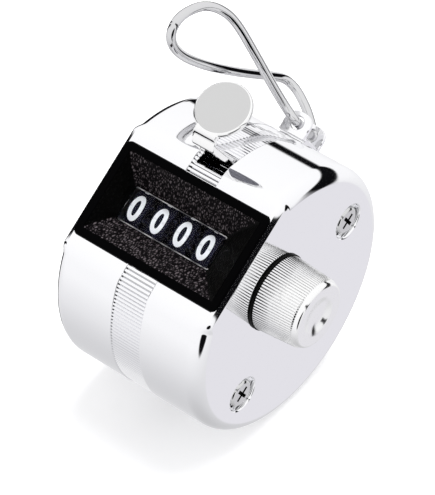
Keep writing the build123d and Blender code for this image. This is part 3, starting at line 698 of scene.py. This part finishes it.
def numeral(digit):
    """Flat mesh of one numeral, centred, in millimetres, with x to the right and y up."""
    curve = bpy.data.curves.new("numeral", "FONT")
    curve.body = str(digit)
    curve.size = 1.0
    curve.resolution_u = 6
    curve.offset = stroke_growth
    text = bpy.data.objects.new("numeral", curve)
    bpy.context.scene.collection.objects.link(text)
    bpy.context.view_layer.update()
    mesh = bpy.data.meshes.new_from_object(text.evaluated_get(bpy.context.evaluated_depsgraph_get()))
    bpy.data.objects.remove(text)
    bm = bmesh.new()
    bm.from_mesh(mesh)
    xs = [v.co.x for v in bm.verts]
    ys = [v.co.y for v in bm.verts]
    full = 0.56 + 2 * stroke_growth
    middle = Vector(((min(xs) + max(xs)) / 2, (min(ys) + max(ys)) / 2, 0))
    bmesh.ops.translate(bm, vec=-middle, verts=bm.verts)
    wide = numeral_width / full
    tall = numeral_height / (max(ys) - min(ys))
    bmesh.ops.scale(bm, vec=(wide, tall, 1), verts=bm.verts)
    for cut in range(-7, 8):
        geometry = list(bm.verts) + list(bm.edges) + list(bm.faces)
        bmesh.ops.bisect_plane(bm, geom=geometry, plane_co=(0, cut * 0.27, 0), plane_no=(0, 1, 0))
    return bm


def wheel_numerals(index):
    """The ten numerals of one wheel, wrapped round it."""
    middle = bank_center + (index - 1.5) * wheel_pitch + numeral_shift
    whole = bmesh.new()
    for digit in range(10):
        bm = numeral(digit)
        for v in bm.verts:
            angle = -pi / 2 - radians(36 * digit) - v.co.y / wheel_radius
            reach = wheel_radius + 0.02
            z = middle + v.co.x
            v.co = wheel_axis + Vector((reach * cos(angle), reach * sin(angle), z))
        mesh = bpy.data.meshes.new("wrapped")
        bm.to_mesh(mesh)
        bm.free()
        whole.from_mesh(mesh)
        bpy.data.meshes.remove(mesh)
    bmesh.ops.scale(whole, vec=(MM, MM, MM), verts=whole.verts)
    return whole


def printed_numerals(index, body):
    """The numerals as an open printed layer that turns with its wheel."""
    figures = wheel_numerals(index)
    mesh = bpy.data.meshes.new(body + "_numerals")
    figures.to_mesh(mesh)
    figures.free()
    mesh.materials.append(numeral_white)
    printed = bpy.data.objects.new(body + "_numerals", mesh)
    bpy.context.scene.collection.objects.link(printed)
    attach(printed, body)
    print(printed.name, "faces:", len(mesh.polygons))


for index, body in enumerate(wheel_bodies):
    printed_numerals(index, body)

# %% [markdown]
# Some of the frame's parts have the right shape but come as loose triangles, which would shine facet by
# facet. Such a part is copied, its points are merged, and its curved faces are smoothed up to an angle,
# so that turned and moulded shapes look turned and moulded.


# %% Smooth copies of frame parts
def smooth_copy(name, body, node_name, slot, material, angle=32, edge=0.0):
    """A merged, smoothed copy that stands for one node, with its edges broken by a small bevel."""
    bm = bmesh.new()
    bm.from_mesh(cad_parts[node_name].data)
    bmesh.ops.remove_doubles(bm, verts=bm.verts, dist=2e-6)
    bmesh.ops.dissolve_limit(bm, angle_limit=radians(0.6), verts=bm.verts, edges=bm.edges)
    bmesh.ops.scale(bm, vec=(1 / MM, 1 / MM, 1 / MM), verts=bm.verts)
    made = piece(name, bm, body, [node_name], slot, material, angle=angle)
    if edge:
        broken = made.modifiers.new("broken edges", "BEVEL")
        broken.width = edge * MM
        broken.segments = 2
        broken.limit_method = "ANGLE"
        broken.angle_limit = radians(40)
        made.modifiers.move(1, 0)
    return made


for body in wheel_bodies:
    smooth_copy(body + "_drum", body, body + "_wheel", "wheel_dark", wheel_dark)
for side in ("left", "right"):
    screws = smooth_copy(side + "_cover_screws", "case", side + "_screws", "screw_nickel", screw_nickel)
    screws.data.materials.append(screw_recess_shade)
    # The sunk faces near each screw's middle take the near-black painted shade.
    for face in screws.data.polygons:
        middle = face.center / MM
        deep = 27.9 - middle.z if side == "right" else middle.z - 0.1
        off = min((middle.xy - Vector(spot)).length for spot in screw_spots)
        if off < 1.6 and 0.04 < deep < 1.0:
            face.material_index = 1

# %% [markdown]
# ## The reset knob
# A barrel with 84 ribs, a little narrower at its end, then a smooth rounded rim and a shallow dish.
# The ribs are points of the ring: two on the land and one in the groove.

# %% Knob
knob_center = Vector((0, -6.8, 0))
knob_low, knob_ribbed, knob_high = 28.35, 35.1, 36.0
# Painted shade in the knob's groove bottoms: near-black by the base, lighter towards the end.
knob_groove_shade = grimy_groove("knob_groove_shade", "Z", 0.0297, 0.0326, 0.004, 0.84)
knob_ribs = 84
knob_rib = [(0.0, 0.03), (0.3, 0.0), (0.6, 0.03), (0.72, 0.2), (0.88, 0.2)]


def knob():
    bm = bmesh.new()
    star = []
    for i in range(knob_ribs):
        for share, depth in knob_rib:
            star.append((2 * pi * (i + share) / knob_ribs, depth))

    def at(radius, z, relief):
        return lambda i: knob_center + Vector(((radius - star[i][1] * relief) * cos(star[i][0]),
                                               (radius - star[i][1] * relief) * sin(star[i][0]), z))

    count = range(len(star))
    ring = start_ring(bm, [at(3.0, knob_low, 0.0)(i) for i in count])
    steps = [(5.85, knob_low, 1.0), (5.98, knob_low + 0.06, 1.0), (6.04, knob_low + 0.2, 1.0),
             (5.56, knob_ribbed - 0.12, 1.0), (5.42, knob_ribbed, 0.8), (5.34, knob_ribbed + 0.06, 0.0),
             (5.30, knob_ribbed + 0.3, 0.0)]
    for radius, z, relief in steps:
        ring = carry_ring(bm, ring, at(radius, z, relief))
    end_round = 0.55
    for k in range(1, 7):
        angle = k * pi / 12
        ring = carry_ring(bm, ring, at(5.30 - end_round * (1 - cos(angle)),
                                       knob_high - end_round * (1 - sin(angle)), 0.0))
    for radius, z in ((4.4, 35.985), (3.6, 35.975), (3.15, 35.92), (2.7, 35.78), (2.2, 35.62), (1.5, 35.50),
                      (0.7, 35.46)):
        ring = carry_ring(bm, ring, at(radius, z, 0.0))
    bmesh.ops.edgeloop_fill(bm, edges=ring)
    number = bm.verts.layers.int.get("number")
    # Groove faces on the barrel take the painted groove shade.
    for f in bm.faces:
        heights = [v.co.z for v in f.verts]
        places = {v[number] % len(knob_rib) for v in f.verts}
        on_barrel = min(heights) > knob_low + 0.1 and max(heights) < knob_ribbed + 0.01
        f.material_index = 1 if on_barrel and places & {3, 4} else 0
    return bm


knob_piece = piece("knurled_knob", knob(), "knob", ["reset_knob"], "knob_chrome", knob_chrome,
                   knob_groove_shade)
washer_piece = piece("black_washer", lathe([(2.6, 28.0), (6.1, 28.0), (6.2, 28.08), (6.2, 28.28),
                                            (6.1, 28.35), (2.6, 28.35)], knob_center), "case",
                     ["knob_washer"], "washer_black", washer_black)


# %% [markdown]
# ## The thumb lever
# On the real counter the lever is one pressed strip. It comes out of the slot in the band, bends back
# sharply and ends in a round pad. The strip is a rounded section carried along the middle line of the
# bend, and the pad is a stack of circles with a rolled edge. Inside the case the strip ends at a hub on
# its pin, with a crank for the pawl.

# %% Middle line of the strip
pin_spot = Vector((-11.911, -14.195, 0))
crank_spot = Vector((-13.135, -6.289, 0))
arm_x = -12.011
arm_end = -25.3
arm_middle_z = 14.4
bend_radius = 1.5
pad_lean = radians(10.4)
bend_turn = pi / 2 + pad_lean
bend_start = arm_end + bend_radius * tan(bend_turn / 2)
pad_center = Vector((-17.711, -24.254, arm_middle_z))
strip_line = [(Vector((arm_x, -14.2, 0)), 0.0), (Vector((arm_x, bend_start, 0)), 0.0)]
for k in range(1, 15):
    angle = bend_turn * k / 14
    strip_line.append((Vector((arm_x - bend_radius * (1 - cos(angle)),
                               bend_start - bend_radius * sin(angle), 0)), angle))
pad_upward = Vector((-cos(pad_lean), sin(pad_lean), 0))
strip_line.append((pad_center - Vector((0, 0, arm_middle_z)) - pad_upward * 3.4, bend_turn))
print("bend of the strip:", round(degrees(bend_turn), 1), "degrees")


# %% Thumb lever
def section(half_wide, half_thick, corner, steps=4):
    """A rounded section as (across, along z) pairs."""
    pairs = []
    for a, b, start in ((half_thick - corner, half_wide - corner, 0), (-half_thick + corner, half_wide - corner, 1),
                        (-half_thick + corner, -half_wide + corner, 2),
                        (half_thick - corner, -half_wide + corner, 3)):
        for k in range(steps + 1):
            angle = (start + k / steps) * pi / 2
            pairs.append((a + corner * cos(angle), b + corner * sin(angle)))
    return pairs


def strip(bm):
    """The strip from the hub to the pad."""
    pairs = section(2.0, 0.55, 0.28)

    def at(n):
        spot, turned = strip_line[n]
        across = Vector((cos(turned), sin(turned), 0))
        return lambda i: spot + across * pairs[i][0] + Vector((0, 0, arm_middle_z + pairs[i][1]))

    ring = start_ring(bm, [at(0)(i) for i in range(len(pairs))])
    bmesh.ops.edgeloop_fill(bm, edges=ring)
    for n in range(1, len(strip_line)):
        ring = carry_ring(bm, ring, at(n))
    bmesh.ops.edgeloop_fill(bm, edges=ring)


def pad(bm, steps=72):
    """The round pad: flat and a little dished, with a rolled edge."""
    facing = Vector((-sin(pad_lean), -cos(pad_lean), 0))
    upward = Vector((-cos(pad_lean), sin(pad_lean), 0))

    def at(radius, height):
        return lambda i: (pad_center + facing * height
                          + upward * radius * cos(2 * pi * i / steps)
                          + Vector((0, 0, radius * sin(2 * pi * i / steps))))

    ring = start_ring(bm, [at(3.9, -0.55)(i) for i in range(steps)])
    # The back disc takes the darker painted shade of the pad's back.
    for f in bmesh.ops.edgeloop_fill(bm, edges=ring)["faces"]:
        f.material_index = 2
    for radius, height in ((4.15, -0.53), (4.32, -0.42), (4.42, -0.22), (4.43, 0.0), (4.42, 0.22), (4.36, 0.36),
                           (4.25, 0.47), (4.1, 0.53), (3.95, 0.55), (3.8, 0.545), (3.2, 0.52), (1.6, 0.50)):
        before = set(bm.faces)
        ring = carry_ring(bm, ring, at(radius, height))
        # Faces of the pad's flat top take the painted shade of its face; the rolled edge keeps the bright chrome.
        for f in set(bm.faces) - before:
            f.material_index = 1 if radius < 4.0 and height > 0 else 0
    for f in bmesh.ops.edgeloop_fill(bm, edges=ring)["faces"]:
        f.material_index = 1


def crank(bm):
    """Hub on the pin, and the crank plate with the hole of the pawl's rivet."""
    along = (crank_spot - pin_spot).normalized()
    first = atan2(along.y, along.x)
    plate = []
    for spot, start in ((crank_spot, first - pi / 2), (pin_spot, first + pi / 2)):
        for k in range(17):
            angle = start + pi * k / 16
            plate.append(spot + 1.5 * Vector((cos(angle), sin(angle), 0)))
    low, high = 21.295, 22.095
    faces = []
    for places in (plate, circle_places(pin_spot, 0.87, 0, 32), circle_places(crank_spot, 0.67, 0, 24)):
        lower = start_ring(bm, [Vector((p.x, p.y, low)) for p in places])
        upper = carry_ring(bm, lower, lambda i: Vector((places[i].x, places[i].y, high)))
        faces.append((lower, upper))
    for side in (0, 1):
        bmesh.ops.triangle_fill(bm, edges=[edge for pair in faces for edge in pair[side]], use_beauty=True)


def lever():
    bm = lathe([(0.87, 6.61), (1.42, 6.61), (1.5, 6.69), (1.5, 21.29), (0.87, 21.29)], pin_spot, 40)
    strip(bm)
    pad(bm)
    crank(bm)
    return bm


lever_piece = piece("pressed_thumb_lever", lever(), "lever", ["thumb_lever"], "shell_chrome", lever_chrome,
                    pad_face_shade, pad_back_shade)

# %% [markdown]
# ## The ring's lug
# Two ears with round tops stand on a base that follows the round band. Each ear is an outline with a
# hole, carried through the thickness of the sheet. A Bevel modifier breaks the edges, so that they
# catch a line of light like every pressed edge.

# %% Lug
lug_middle_z = 14.3
lug_hole = Vector((-23.9, 0, lug_middle_z))


def ear(bm, near, far):
    """One ear between two distances along Y."""
    outline_xz = [(-21.9, lug_middle_z - 2.3), (-21.9, lug_middle_z + 2.3)]
    for cz, start in ((lug_middle_z + 0.5, 0), (lug_middle_z - 0.5, 1)):
        for k in range(10):
            angle = (start + k / 9) * pi / 2
            outline_xz.append((-23.9 - 1.8 * sin(angle), cz + 1.8 * cos(angle)))
    outer = [Vector((x, near, z)) for x, z in outline_xz]
    hole = [lug_hole + Vector((1.05 * cos(2 * pi * k / 36), near, 1.05 * sin(2 * pi * k / 36))) for k in range(36)]
    sides = []
    for places in (outer, hole):
        first = start_ring(bm, places)
        second = carry_ring(bm, first, lambda i: Vector((places[i].x, far, places[i].z)))
        sides.append((first, second))
    for side in (0, 1):
        bmesh.ops.triangle_fill(bm, edges=[edge for pair in sides for edge in pair[side]], use_beauty=True)


def lug():
    bm = bmesh.new()
    ear(bm, -2.4, -1.6)
    ear(bm, 3.6, 4.4)
    foot = [Vector((-22.55, -1.61, 0)), Vector((-22.55, 3.61, 0))]
    for k in range(9):
        y = 3.61 - 5.22 * k / 8
        foot.append(Vector((-sqrt(21.66 ** 2 - y * y), y, 0)))
    ring = start_ring(bm, [p + Vector((0, 0, lug_middle_z - 2.3)) for p in foot])
    bmesh.ops.edgeloop_fill(bm, edges=ring)
    ring = carry_ring(bm, ring, lambda i: foot[i] + Vector((0, 0, lug_middle_z + 2.3)))
    bmesh.ops.edgeloop_fill(bm, edges=ring)
    return bm


lug_piece = piece("riveted_lug", lug(), "case", ["ring_lug"], "shell_chrome", shell_chrome)
lug_edges = lug_piece.modifiers.new("broken edges", "BEVEL")
lug_edges.width = 0.12 * MM
lug_edges.segments = 2
lug_edges.limit_method = "ANGLE"
lug_edges.angle_limit = radians(50)
lug_piece.modifiers.move(1, 0)

# %% [markdown]
# ## The finger ring
# One bright wire of 1.5 mm. It is a smooth NURBS curve through the same route as the frame's wire, and
# its round section comes from the curve's bevel.

# %% Finger ring
ring_route = [(-23.9, -0.8, 14.3), (-23.9, -2.6, 14.3), (-23.9, -3.6, 14.2), (-24.8, -4.3, 12.4),
              (-26.4, -7.7, 10.2), (-28.3, -12.0, 8.0), (-30.9, -17.5, 4.7), (-31.0, -20.2, 3.0),
              (-30.1, -22.4, 1.8), (-28.3, -24.2, 1.15), (-26.2, -25.5, 0.9), (-24.2, -25.5, 0.9),
              (-22.7, -24.0, 1.05), (-22.2, -21.5, 1.5), (-22.5, -18.5, 2.2), (-23.4, -14.8, 3.1),
              (-25.0, -9.9, 4.1), (-27.2, -3.8, 4.7), (-28.7, 0.2, 5.0), (-29.8, 3.4, 5.6),
              (-29.4, 4.6, 7.3), (-28.4, 5.2, 9.0), (-26.9, 5.5, 11.2), (-23.9, 5.8, 14.2),
              (-23.9, 4.8, 14.3), (-23.9, 2.8, 14.3)]
wire_curve = bpy.data.curves.new("ring_wire", "CURVE")
wire_curve.dimensions = "3D"
wire_line = wire_curve.splines.new("NURBS")
wire_line.points.add(len(ring_route) - 1)
for point, place in zip(wire_line.points, ring_route):
    point.co = (*(Vector(place) * MM), 1)
wire_line.order_u = 3
wire_line.use_endpoint_u = True
wire_curve.resolution_u = 8
wire_curve.bevel_depth = 0.75 * MM
wire_curve.bevel_resolution = 7
wire_curve.use_fill_caps = True
ring_piece = bpy.data.objects.new("ring_wire", wire_curve)
bpy.context.scene.collection.objects.link(ring_piece)
wire_curve.materials.append(wire_chrome)
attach(ring_piece, "ring")
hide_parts("finger_ring")
print("ring route points:", len(ring_route))

# %% [markdown]
# ## Finishes for the parts that stay
# The parts inside and the small turned parts already have their real shape, so they keep it and only
# take a finish.

# %% Finishes of the frame's own parts
finishes = {
    "left_plate": plate_steel, "right_plate": plate_steel, "frame_posts": brass,
    "thousands_pinion": pinion_white,
    "hundreds_pinion": pinion_white, "tens_pinion": pinion_white, "pinion_shaft": pin_steel,
    "units_ratchet": brass, "lever_pin": pin_steel, "pawl_rivet": pin_steel, "drive_pawl": plate_steel,
    "lever_spring": spring_steel, "click_spring": spring_steel, "reset_shaft": pin_steel,
    "shaft_clip": spring_steel, "shaft_bush": brass,
    "lug_rivet": pin_steel,
}
for name, material in finishes.items():
    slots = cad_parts[name].data.materials
    slots.clear()
    slots.append(material)
print("finished as they are:", len(finishes))

# %% [markdown]
# ## Floor and light
# The counter lies on its round wall on a white floor, so the floor is a plane that touches the wall.
# Seen from below it lets the view through. Polished metal doesn't see it: it sees the tent below.

# %% Floor
down = Vector((0.569, 0.822, 0.0)).normalized()
floor_mesh = bmesh.new()
bmesh.ops.create_grid(floor_mesh, x_segments=1, y_segments=1, size=3.0)
lay = down.to_track_quat("-Z", "Y").to_matrix().to_4x4()
bmesh.ops.transform(floor_mesh, matrix=Matrix.Translation(down * case_radius * MM) @ lay,
                    verts=floor_mesh.verts)
floor_data = bpy.data.meshes.new("floor")
floor_mesh.to_mesh(floor_data)
floor_mesh.free()
floor = bpy.data.objects.new("floor", floor_data)
bpy.context.scene.collection.objects.link(floor)
floor.visible_glossy = False
white_floor = bpy.data.materials.new("white_floor")
white_floor.use_nodes = True
floor_shader = white_floor.node_tree.nodes["Principled BSDF"]
floor_shader.inputs["Base Color"].default_value = (0.86, 0.86, 0.87, 1)
floor_shader.inputs["Roughness"].default_value = 0.9
floor_shader.inputs["Specular IOR Level"].default_value = 0.0
floor_light = node(white_floor, "LightPath")
lift = node(white_floor, "Math", operation="MULTIPLY")
join(white_floor, floor_light.outputs["Is Camera Ray"], lift.inputs[0])
lift.inputs[1].default_value = 0.30
floor_shader.inputs["Emission Color"].default_value = (1, 1, 1, 1)
join(white_floor, lift.outputs["Value"], floor_shader.inputs["Emission Strength"])
clear_back = node(white_floor, "BsdfTransparent")
side = node(white_floor, "NewGeometry")
mix = node(white_floor, "MixShader")
join(white_floor, side.outputs["Backfacing"], mix.inputs["Fac"])
join(white_floor, floor_shader.outputs["BSDF"], mix.inputs[1])
join(white_floor, clear_back.outputs["BSDF"], mix.inputs[2])
join(white_floor, mix.outputs["Shader"], white_floor.node_tree.nodes["Material Output"].inputs["Surface"])
floor_data.materials.append(white_floor)
print("floor touches the round wall at", [round(c, 4) for c in down * case_radius * MM])

# %% [markdown]
# ## What the metal sees
# Matt surfaces are lit by an even white world. Polished metal shows its shape only where it mirrors
# something dark, so a photographer stands it in a white tent and leaves dark gaps in it. Here glossy
# rays see such a tent: white above, a little greyer towards the floor, a pale patch behind, and three
# dark gaps. Each gap is a band of the sky at a fixed angle from some direction, with soft edges.

# %% The tent
world = bpy.data.worlds.new("studio")
bpy.context.scene.world = world
world.use_nodes = True
sky = world.node_tree
sky.nodes.clear()


def sky_node(kind, **values):
    made = sky.nodes.new("ShaderNode" + kind)
    for key, value in values.items():
        setattr(made, key, value)
    return made


def sky_math(operation, *values):
    """A math node whose inputs are numbers or sockets."""
    made = sky_node("Math", operation=operation)
    for socket, value in zip(made.inputs, values):
        if isinstance(value, (int, float)):
            socket.default_value = value
        else:
            sky.links.new(value, socket)
    return made.outputs["Value"]


def sky_step(value, low, high, first, last):
    """A soft step from first to last as the value goes from low to high."""
    made = sky_node("MapRange", interpolation_type="SMOOTHSTEP")
    for name, number in (("From Min", low), ("From Max", high), ("To Min", first), ("To Max", last)):
        made.inputs[name].default_value = number
    sky.links.new(value, made.inputs["Value"])
    return made.outputs["Result"]


direction = sky_node("TexCoord").outputs["Generated"]


def sky_toward(way):
    """Cosine of the angle between a ray and a direction."""
    made = sky_node("VectorMath", operation="DOT_PRODUCT")
    made.inputs[1].default_value = Vector(way).normalized()
    sky.links.new(direction, made.inputs[0])
    return made.outputs["Value"]


def gap(middle, radius, thin, thick, soft, toward, reach, held_toward=None, held_reach=0):
    """Darkness of a band at some degrees from middle, thickest in the direction toward."""
    off = sky_math("ABSOLUTE", sky_math("SUBTRACT", sky_math("ARCCOSINE", sky_toward(middle)), radians(radius)))
    near = sky_toward(toward)
    width = sky_step(near, cos(radians(reach)), cos(radians(reach * 0.15)), radians(thin), radians(thick))
    edge = sky_step(sky_math("SUBTRACT", off, width), 0.0, radians(soft), 1.0, 0.0)
    ends = sky_toward(held_toward) if held_toward else near
    last = held_reach or reach
    held = sky_step(ends, cos(radians(last + 6)), cos(radians(last)), 0.0, 1.0)
    return sky_math("MULTIPLY", edge, held)


def spot(toward, radius, soft):
    """Darkness of a round spot of the sky."""
    return sky_step(sky_toward(toward), cos(radians(radius + soft)), cos(radians(radius)), 0.0, 1.0)


back_gap = gap((-0.3424, 0.9375, -0.0627), 44.3, 2.5, 7.0, 3.0, (-0.612, 0.635, 0.472), 60,
               (-0.720, 0.689, 0.080), 40)
right_gap = gap((1, 0, 0), 93.8, 2.0, 2.2, 1.2, (0, -0.15, 0.99), 46)
left_gap = gap((1, 0, 0), 93.8, 2.0, 2.2, 1.2, (0, 0.10, -0.99), 42)
pad_gap = gap((1, 0, 0), 80.5, 4.5, 5.5, 2.5, (0, 0.10, -0.99), 46)
front_spot = spot((0.485, -0.188, 0.854), 19, 5)
far_spot = spot((-0.361, 0.440, -0.822), 15, 5)
dark = back_gap
for shade in (right_gap, left_gap, pad_gap, front_spot, far_spot):
    dark = sky_math("MAXIMUM", dark, shade)

# %% [markdown]
# The tone between the gaps follows the height of the ray. A ColorRamp holds it, from the grey that the
# metal sees straight below to the white above.

# %% Tone of the tent
height = sky_toward(-down)
tent = sky_node("ValToRGB")
sky.links.new(sky_math("MULTIPLY_ADD", height, 0.5, 0.5), tent.inputs["Fac"])
tones = [(0.0, (0.60, 0.60, 0.61)), (0.06, (0.70, 0.70, 0.715)), (0.18, (0.87, 0.87, 0.885)),
         (0.36, (1.04, 1.04, 1.05)), (1.0, (1.12, 1.12, 1.12))]
while len(tent.color_ramp.elements) < len(tones):
    tent.color_ramp.elements.new(0.5)
for element, (place, tone) in zip(tent.color_ramp.elements, tones):
    element.position = place
    element.color = (*tone, 1)
patch = sky_step(sky_toward((-0.066, 0.887, 0.458)), cos(radians(19)), cos(radians(10)), 0.0, 1.0)
patched = sky_node("Mix", data_type="RGBA")
sky.links.new(patch, patched.inputs[0])
sky.links.new(tent.outputs["Color"], patched.inputs[6])
patched.inputs[7].default_value = (0.84, 0.83, 0.87, 1)
darkened = sky_node("Mix", data_type="RGBA")
sky.links.new(dark, darkened.inputs[0])
sky.links.new(patched.outputs[2], darkened.inputs[6])
darkened.inputs[7].default_value = (0.004, 0.004, 0.005, 1)
path = sky_node("LightPath")
seen = sky_node("Mix", data_type="RGBA")
seen.inputs[6].default_value = (0.85, 0.85, 0.85, 1)
sky.links.new(path.outputs["Is Glossy Ray"], seen.inputs[0])
sky.links.new(darkened.outputs[2], seen.inputs[7])
camera_white = sky_node("Mix", data_type="RGBA")
sky.links.new(path.outputs["Is Camera Ray"], camera_white.inputs[0])
sky.links.new(seen.outputs[2], camera_white.inputs[6])
camera_white.inputs[7].default_value = (1, 1, 1, 1)
background = sky_node("Background")
sky.links.new(camera_white.outputs[2], background.inputs["Color"])
sky.links.new(background.outputs["Background"], sky_node("OutputWorld").inputs["Surface"])
print("nodes in the tent:", len(sky.nodes))


# %% Lamps
def soft_lamp(name, toward, distance, size, power):
    """An area lamp that looks at the counter from a direction."""
    lamp = bpy.data.lights.new(name, "AREA")
    lamp.shape = "DISK"
    lamp.size = size
    lamp.energy = power
    obj = bpy.data.objects.new(name, lamp)
    bpy.context.scene.collection.objects.link(obj)
    obj.visible_glossy = False
    toward = Vector(toward).normalized()
    aim = Vector((0, 0, 0.014))
    obj.matrix_world = Matrix.Translation(aim + toward * distance) @ toward.to_track_quat(
        "Z", "Y").to_matrix().to_4x4()
    return obj


soft_lamp("key", (-0.78, -0.62, 0.05), 0.5, 0.4, 2.2)
scene_view = bpy.context.scene.view_settings
scene_view.view_transform = "Standard"
print("lamps:", len(bpy.data.lights))
